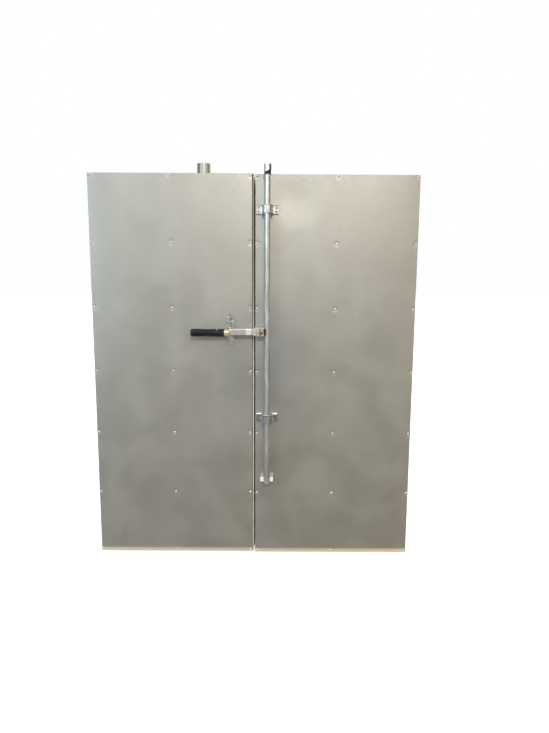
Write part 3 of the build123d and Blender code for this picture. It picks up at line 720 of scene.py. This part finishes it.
def add_body_screws(panel_screw, wafer_screw, finish):
    for side, tip in (("left", -1), ("right", 1)):
        x = tip * side_high.x
        low = Vector((x, side_low.y + shell_inset, side_low.z + shell_inset))
        high = Vector((x, rear_low.y - shell_inset, side_high.z - shell_inset))
        places = grid_places(low, high, side_columns, screw_rows)
        screws(f"{side}_sheet_screws", panel_screw, places, Vector((tip, 0, 0)), finish, "oven_body", 11)

    low = Vector((rear_low.x + rear_inset, rear_high.y, rear_low.z + shell_inset))
    high = Vector((rear_high.x - rear_inset, rear_high.y, rear_high.z - shell_inset))
    places = grid_places(low, high, rear_columns, screw_rows)
    screws("rear_sheet_screws", wafer_screw, places, backwards, finish, "oven_body", 13)

    first_x = roof_low.x + shell_inset
    last_x = roof_high.x - shell_inset
    run_x = roof_high.x - roof_low.x - 2 * shell_inset
    first_y = roof_low.y + shell_inset
    last_y = roof_high.y - shell_inset
    run_y = roof_high.y - roof_low.y - 2 * shell_inset
    places = []
    for x in (first_x, last_x):
        places += [Vector((x, first_y + i * run_y / roof_gaps, roof_high.z)) for i in range(roof_gaps + 1)]
    for y in (first_y, last_y):
        places += [Vector((first_x + i * run_x / roof_gaps, y, roof_high.z)) for i in range(1, roof_gaps)]
    screws("roof_screws", panel_screw, places, upwards, finish, "oven_body", 17)

    centre = (flange_low + flange_high) / 2
    ring = flange_ring_share * (flange_high.x - flange_low.x) / 2
    places = []
    for i in range(flange_screws):
        angle = math.radians(flange_first_angle + 360 / flange_screws * i)
        places.append(Vector((centre.x + ring * math.cos(angle), centre.y + ring * math.sin(angle),
                              flange_low.z + flange_plate)))
    screws("flange_screws", panel_screw, places, upwards, finish, "oven_body", 19)


def add_gear_screws(bearing_screw, hinge_screw, dark_finish, finish):
    for node in ("upper_bearing", "lower_bearing"):
        low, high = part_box(node)
        places = [Vector((pipe_x + dx, face_y - bearing_plate, high.z - drop))
                  for dx in (-bearing_screw_reach, bearing_screw_reach) for drop in bearing_screw_drops]
        screws(f"{node}_screws", bearing_screw, places, forwards, dark_finish, "right_door", 23)

    low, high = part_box("right_body_hinges")
    lowest = low.z + hinge_length / 2
    highest = high.z - hinge_length / 2
    heights = (lowest, (lowest + highest) / 2, highest)
    for side, tip in (("left", -1), ("right", 1)):
        for part, body in (("body", "oven_body"), ("door", f"{side}_door")):
            low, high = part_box(f"{side}_{part}_hinges")
            if part == "body":
                ys = [high.y - inset for inset in hinge_screw_insets]
            else:
                ys = [low.y + inset for inset in hinge_screw_insets]
            x = tip * (side_high.x + hinge_plate)
            places = [Vector((x, y, z + rise))
                      for z in heights for y in ys for rise in (-hinge_screw_rise, hinge_screw_rise)]
            screws(f"{side}_{part}_hinge_screws", hinge_screw, places, Vector((tip, 0, 0)), finish, body, 29)


def add_welds(finish):
    crease = 60.0

    # On the pipe: two upright seams of the hub, its two ends, and a ring under the cam's collar
    shape = bmesh.new()
    seam_x = pipe_x - 0.62 * pipe_radius
    seam_reach = 0.84 * pipe_radius
    seam_inset = 0.001
    for side in (-1, 1):
        y = pipe_y + side * seam_reach
        straight_weld(shape, (seam_x, y, hub_low.z + seam_inset), (seam_x, y, hub_high.z - seam_inset),
                      hub_seam_bead, 31 + side)
    end_x = pipe_x - pipe_radius - 0.001
    end_reach = 0.009
    for z in (hub_low.z, hub_high.z):
        straight_weld(shape, (end_x, pipe_y - end_reach, z), (end_x, pipe_y + end_reach, z), hub_end_bead, 37)
    ring_weld(shape, Vector((pipe_x, pipe_y, cam_low.z)), pipe_radius + 0.0006, cam_bead, 41)
    piece("pipe_welds", shape, finish, "lock_pipe", crease)

    # Over and under the catch's shelf
    shape = bmesh.new()
    shelf_z = handle_z - shelf_drop
    plate_y = face_y - catch_plate
    shelf_reach = 0.010
    for z in (shelf_z - shelf_thickness, shelf_z):
        straight_weld(shape, (catch_x - shelf_reach, plate_y, z), (catch_x + shelf_reach, plate_y, z),
                      shelf_bead, 43)
    piece("catch_welds", shape, finish, "left_door", crease)

    # Up the stub's seam
    shape = bmesh.new()
    straight_weld(shape, (stub_x, stub_high.y, roof_high.z + flange_collar),
                  (stub_x, stub_high.y, stub_high.z - 0.002), stub_bead, 47)
    piece("stub_seam_weld", shape, finish, "oven_body", crease)

    # Beside the keeper's foot
    shape = bmesh.new()
    front_y = keeper_high.y - 0.055
    back_y = keeper_high.y - 0.004
    for x in (keeper_low.x, keeper_high.x):
        straight_weld(shape, (x, front_y, roof_high.z), (x, back_y, roof_high.z), keeper_bead, 53)
    piece("keeper_welds", shape, finish, "oven_body", crease)


# Room
def add_floor():
    """A pale floor that is seen, but lights nothing and isn't reflected."""
    shape = bmesh.new()
    bmesh.ops.create_grid(shape, x_segments=1, y_segments=1, size=60.0)
    mesh = bpy.data.meshes.new("studio_floor")
    shape.to_mesh(mesh)
    shape.free()
    floor = bpy.data.objects.new("studio_floor", mesh)
    bpy.context.scene.collection.objects.link(floor)
    floor.visible_glossy = False
    floor.visible_diffuse = False
    paint, tree, shader = new_finish("floor_paint", 0.0, 0.9)
    shader.inputs["Base Color"].default_value = (0.86, 0.86, 0.85, 1.0)
    shader.inputs["Emission Color"].default_value = (1.0, 1.0, 1.0, 1.0)
    shader.inputs["Emission Strength"].default_value = 0.62
    mesh.materials.append(paint)


def room_ramp(tree, direction, stops):
    """Colours that change smoothly as a direction runs from -1 to 1."""
    node = tree.nodes.new("ShaderNodeValToRGB")
    node.color_ramp.interpolation = "EASE"
    ramp = node.color_ramp.elements
    while len(ramp) < len(stops):
        ramp.new(0.5)
    for element, (place, tint) in zip(ramp, stops):
        element.position = (place + 1.0) / 2
        element.color = (*tint, 1.0)
    link(tree, ranged(tree, direction, -1.0, 1.0, smooth=False), node.inputs["Fac"])
    return node.outputs["Color"]


def add_room_light():
    """A pale room: dark between floor and eye level, bright above, cool on the left, warm on the right."""
    heights = ((-1.0, 0.62, 0.70), (-0.74, 0.72, 0.70), (-0.54, 0.02, 0.89), (-0.30, 0.02, 0.89),
               (-0.19, 0.13, 0.86), (-0.085, 0.55, 0.79), (0.0, 0.51, 0.87), (0.07, 0.50, 0.89),
               (0.14, 0.36, 0.89), (0.34, 0.30, 0.89), (0.50, 0.75, 0.89), (1.0, 0.80, 0.89))
    levels = [(z, (level, (0.5 + 0.5 * blue) * level, blue * level)) for z, level, blue in heights]
    tints = ((-1.0, (0.34, 0.42, 0.52)), (-0.86, (0.90, 1.02, 1.14)), (-0.62, (1.25, 1.42, 1.58)),
             (-0.38, (2.66, 3.10, 3.56)), (-0.24, (0.66, 0.69, 0.71)), (0.0, (0.64, 0.63, 0.61)),
             (0.14, (0.88, 0.84, 0.76)), (0.34, (1.74, 1.60, 1.35)), (0.52, (2.08, 2.05, 1.92)),
             (0.72, (2.05, 2.02, 1.88)), (0.88, (0.80, 0.73, 0.60)), (1.0, (0.34, 0.30, 0.22)))
    world = bpy.data.worlds.new("pale_room")
    bpy.context.scene.world = world
    world.use_nodes = True
    tree = world.node_tree
    tree.nodes.clear()
    split = tree.nodes.new("ShaderNodeSeparateXYZ")
    link(tree, tree.nodes.new("ShaderNodeTexCoord").outputs["Generated"], split.inputs["Vector"])
    product = tree.nodes.new("ShaderNodeMix")
    product.data_type = "RGBA"
    product.blend_type = "MULTIPLY"
    product.inputs["Factor"].default_value = 1.0
    link(tree, room_ramp(tree, split.outputs["Z"], levels), product.inputs[6])
    link(tree, room_ramp(tree, split.outputs["X"], tints), product.inputs[7])
    room = tree.nodes.new("ShaderNodeBackground")
    link(tree, product.outputs[2], room.inputs["Color"])
    backdrop = tree.nodes.new("ShaderNodeBackground")
    backdrop.inputs["Color"].default_value = (1.0, 1.0, 1.0, 1.0)
    seen = tree.nodes.new("ShaderNodeLightPath")
    choice = tree.nodes.new("ShaderNodeMixShader")
    output = tree.nodes.new("ShaderNodeOutputWorld")
    link(tree, seen.outputs["Is Camera Ray"], choice.inputs["Fac"])
    link(tree, room.outputs["Background"], choice.inputs[1])
    link(tree, backdrop.outputs["Background"], choice.inputs[2])
    link(tree, choice.outputs["Shader"], output.inputs["Surface"])


def add_lamp(name, place, target, width, height, watts, tint):
    data = bpy.data.lights.new(name, "AREA")
    data.shape = "RECTANGLE"
    data.size = width
    data.size_y = height
    data.energy = watts
    data.color = tint
    lamp = bpy.data.objects.new(name, data)
    heading = (Vector(target) - Vector(place)).to_track_quat("-Z", "Y").to_matrix().to_4x4()
    lamp.matrix_world = Matrix.Translation(place) @ heading
    bpy.context.scene.collection.objects.link(lamp)


def add_lamps():
    doors = (0.0, face_y, 1.2)
    oven = (0.0, 0.0, 1.0)
    add_lamp("ceiling_lamp", (0.48, -5.6, 3.65), doors, 0.3, 0.3, 86.0, (1.0, 0.965, 0.895))
    add_lamp("left_window", (-3.8, -3.9, 2.1), doors, 1.2, 1.4, 48.0, (0.70, 0.86, 1.0))
    add_lamp("rear_panel", (1.5, 5.0, 4.4), oven, 4.0, 4.0, 60.0, (1.0, 0.98, 0.95))


set_camera()

# Rubbed places, areas of painted shade and hollow places of the leaves: centre, reach on each axis, and share
# or depth
left_marks = [((-0.155, face_y, 1.752), (0.020, 0.02, 0.004), 0.25)]
right_marks = [
    ((0.235, face_y, 1.835), (0.050, 0.02, 0.0025), 0.4),
    ((0.460, face_y, 0.990), (0.010, 0.02, 0.007), 0.35),
    ((0.640, face_y, 0.470), (0.004, 0.02, 0.018), 0.35),
]
left_shades = [((-0.050, face_y, 0.95), (0.18, 0.2, 0.48), 0.65)]
right_shades = [((pipe_x + 0.06, face_y, 0.98), (0.17, 0.2, 0.52), 0.9)]
right_hollows = [((0.185, face_y, 1.735), (0.150, 0.2, 0.150), 0.0045)]
left_sheet = door_sheet("left_door_sheet", left_low, left_high, left_hem_drop, left_marks, left_shades)
right_sheet = door_sheet("right_door_sheet", right_low, right_high, right_hem_drop, right_marks, right_shades,
                         right_hollows)
body_sheet = zinc_sheet("body_sheet", (0.60, 0.595, 0.56), (0.555, 0.55, 0.515), 0.40, 0.46)
liner_sheet = zinc_sheet("liner_sheet", (0.56, 0.55, 0.51), (0.51, 0.50, 0.465), 0.42, 0.49, heat=0.22)
frame_sheet = zinc_sheet("frame_sheet", (0.57, 0.565, 0.53), (0.52, 0.515, 0.48), 0.38, 0.45, heat=0.12)

# Dark and light places of the gear, some weld burn and tint, some painted shade and painted highlight:
# centre, reach on each axis, and colour
# Near-black painted shade where the hub meets the pipe, over weld burn from its seams
hub_burn_and_shade = ((pipe_x - 0.011, pipe_y, hub_z), (0.012, 0.05, 0.042), (0.022, 0.019, 0.016))
# Weld burn and painted shade on the pipe just under the cam's collar
cam_burn_and_shade = ((pipe_x + 0.004, pipe_y, cam_low.z), (0.020, 0.03, 0.014), (0.05, 0.045, 0.04))
# Painted shade: the cam's right flank darker
cam_flank_painted_shade = ((pipe_x + 0.015, pipe_y - 0.004, cam_low.z + 0.034), (0.0065, 0.03, 0.045), (0.10, 0.09, 0.08))
# Darker brown towards the hub bolt's centre
bolt_dark_centre = ((bolt_x, bolt_low.y, handle_z), (0.0200, 0.03, 0.0200), (0.26, 0.22, 0.17))
catch_y = face_y - catch_front
catch_bolt_tint_and_highlight = [
    # A pinkish-brown face on the top bolt
    ((catch_x, catch_y, catch_high.z - 0.018), (0.0110, 0.02, 0.0110), (0.40, 0.31, 0.27)),
    # Painted highlight: the lower bolt's face near-white
    ((catch_x, catch_y, catch_low.z + 0.020), (0.0090, 0.02, 0.0080), (1.0, 0.99, 0.94)),
]

# Bands of the gear, some plain tone, some painted shade, painted highlight and painted reflection: reach in
# x, reach in z, and colour
bearing_tones_and_painted_shade = []
for bearing in ("upper_bearing", "lower_bearing"):
    low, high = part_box(bearing)
    for ear in ((low.x, pipe_x - bearing_ear_start), (pipe_x + bearing_ear_start, high.x)):
        bearing_tones_and_painted_shade.append((ear, (low.z, high.z), (0.60, 0.59, 0.55)))
    # Painted shade: a darker band along each plate's top edge
    bearing_tones_and_painted_shade.append(((low.x, high.x), (high.z - bearing_brow_shade, high.z), (0.42, 0.42, 0.41)))
hub_tones_and_painted_light = [
    # Painted highlight: a near-white band along the hub's top edge
    ((hub_low.x, hub_high.x), (hub_high.z - 0.006, hub_high.z + 0.001), (1.0, 0.98, 0.90)),
    (hub_ear_x, (hub_low.z + 0.001, hub_high.z - 0.001), (0.95, 0.88, 0.66)),
    # Painted shade: a darker band down the hub's slot
    (hub_slot_shade_x, (hub_low.z + 0.006, hub_high.z - 0.006), (0.42, 0.40, 0.36)),
]
# Painted reflection: a bluish-white patch across the handle bar
bar_painted_reflection = [(bar_painted_reflection_x, (hub_low.z, hub_high.z), (0.96, 1.0, 1.0))]

pipe_zinc = plated_steel(
    "pipe_zinc", light=(0.76, 0.76, 0.75), dark=(0.52, 0.52, 0.51), rough=(0.24, 0.34), edge=0.0008,
    edge_tone=(0.86, 0.86, 0.85), metallic=0.85, stretch=(1.0, 1.0, 0.25), tints_and_painted_light=[hub_burn_and_shade, cam_burn_and_shade],
    dull_below=1.45)
bearing_zinc = plated_steel(
    "bearing_zinc", light=(0.84, 0.85, 0.86), dark=(0.60, 0.61, 0.62), rough=(0.28, 0.40), edge=0.0006,
    edge_tone=(0.86, 0.86, 0.84), metallic=0.95, patches_and_painted_light=bearing_tones_and_painted_shade)
cam_zinc = plated_steel(
    "cam_zinc", light=(0.84, 0.85, 0.85), dark=(0.62, 0.63, 0.63), rough=(0.26, 0.38), edge=0.0012,
    edge_tone=(0.90, 0.90, 0.88), metallic=0.95, tints_and_painted_light=[cam_flank_painted_shade])
hub_zinc = plated_steel(
    "hub_zinc", light=(0.84, 0.82, 0.76), dark=(0.44, 0.42, 0.38), rough=(0.36, 0.48), edge=0.0016,
    edge_tone=(0.95, 0.93, 0.86), metallic=0.7, tints_and_painted_light=[hub_burn_and_shade], patches_and_painted_light=hub_tones_and_painted_light)
bar_zinc = plated_steel(
    "bar_zinc", light=(0.74, 0.72, 0.67), dark=(0.56, 0.54, 0.50), rough=(0.36, 0.48), edge=0.0016,
    edge_tone=(0.95, 0.93, 0.87), metallic=0.7, stretch=(0.08, 1.0, 1.0), patches_and_painted_light=bar_painted_reflection)
collar_zinc = plated_steel(
    "collar_zinc", light=(0.90, 0.84, 0.66), dark=(0.72, 0.66, 0.50), rough=(0.36, 0.46), edge=0.0012,
    edge_tone=(0.94, 0.90, 0.78), metallic=0.7)
bolt_zinc = plated_steel(
    "bolt_zinc", light=(0.86, 0.80, 0.62), dark=(0.62, 0.57, 0.44), rough=(0.36, 0.48), edge=0.0012,
    edge_tone=(0.94, 0.90, 0.78), metallic=0.7, tints_and_painted_light=[bolt_dark_centre])
catch_zinc = plated_steel(
    "catch_zinc", light=(0.86, 0.85, 0.82), dark=(0.40, 0.39, 0.37), rough=(0.28, 0.42), edge=0.0014,
    edge_tone=(0.97, 0.96, 0.92), metallic=0.75, tints_and_painted_light=catch_bolt_tint_and_highlight)
foot_zinc = plated_steel(
    "foot_zinc", light=(0.70, 0.71, 0.72), dark=(0.50, 0.51, 0.52), rough=(0.42, 0.52), edge=0.0012,
    edge_tone=(0.84, 0.84, 0.84), metallic=0.75)
dark_steel = plated_steel(
    "dark_steel", light=(0.10, 0.095, 0.088), dark=(0.035, 0.033, 0.031), rough=(0.42, 0.6), edge=0.0012,
    edge_tone=(0.30, 0.29, 0.27))
hinge_steel = plated_steel(
    "hinge_steel", light=(0.60, 0.60, 0.585), dark=(0.44, 0.44, 0.43), rough=(0.30, 0.45), edge=0.0010,
    edge_tone=(0.8, 0.8, 0.78))
stub_steel = plated_steel(
    "stub_steel", light=(0.60, 0.595, 0.56), dark=(0.44, 0.43, 0.40), rough=(0.38, 0.48), edge=0.0010,
    edge_tone=(0.85, 0.85, 0.82), stretch=(1.0, 1.0, 0.06))
screw_steel = plated_steel(
    "screw_steel", light=(0.86, 0.86, 0.84), dark=(0.66, 0.66, 0.64), rough=(0.26, 0.36), edge=0.0004,
    edge_tone=(0.90, 0.90, 0.88))
dark_screw = plated_steel(
    "dark_screw", light=(0.40, 0.40, 0.39), dark=(0.22, 0.22, 0.21), rough=(0.24, 0.34), edge=0.0004,
    edge_tone=(0.60, 0.60, 0.58))
weld = weld_metal()

nodes_of = (
    (body_sheet, ("left_sheet", "right_sheet", "rear_sheet", "roof_sheet", "exhaust_flange")),
    (mineral_wool(), ("floor_panel", "left_wall", "right_wall", "rear_wall", "roof_panel", "left_door_core",
                      "right_door_core")),
    (liner_sheet, ("left_liner", "right_liner", "rear_liner", "floor_liner", "ceiling_liner",
                   "left_door_liner", "right_door_liner")),
    (hinge_steel, ("left_body_hinges", "right_body_hinges", "left_door_hinges", "right_door_hinges",
                   "hinge_pins")),
    (bearing_zinc, ("upper_bearing", "lower_bearing")),
    (foot_zinc, ("rod_foot",)),
    (left_sheet, ("left_door_skin",)),
    (right_sheet, ("right_door_skin",)),
    (frame_sheet, ("front_frame",)),
    (seal_braid(), ("door_seal",)),
    (strip_foil(), ("meeting_strip",)),
    (bush_plastic(), ("bearing_bushes",)),
    (pipe_zinc, ("lock_rod",)),
    (cam_zinc, ("rod_cam",)),
    (dark_steel, ("cam_collar", "keeper")),
    (hub_zinc, ("handle_hub",)),
    (bolt_zinc, ("hub_bolt",)),
    (bar_zinc, ("handle_bar",)),
    (collar_zinc, ("handle_collar",)),
    (grip_plastic(), ("grip",)),
    (catch_zinc, ("handle_catch", "catch_latch")),
    (stub_steel, ("exhaust_stub",)),
)
for finish, names in nodes_of:
    for name in names:
        nodes[name].data.materials.clear()
        nodes[name].data.materials.append(finish)

panel_screw = screw_head(panel_screw_radius, panel_screw_height)
wafer_screw = screw_head(panel_screw_radius, wafer_screw_height)
bearing_screw = screw_head(bearing_screw_radius, bearing_screw_height)
hinge_screw = screw_head(hinge_screw_radius, hinge_screw_height)
add_door_screws(panel_screw, wafer_screw, screw_steel)
add_body_screws(panel_screw, wafer_screw, screw_steel)
add_gear_screws(bearing_screw, hinge_screw, dark_screw, screw_steel)
add_welds(weld)

add_floor()
add_room_light()
add_lamps()
bpy.context.scene.view_settings.view_transform = "Standard"
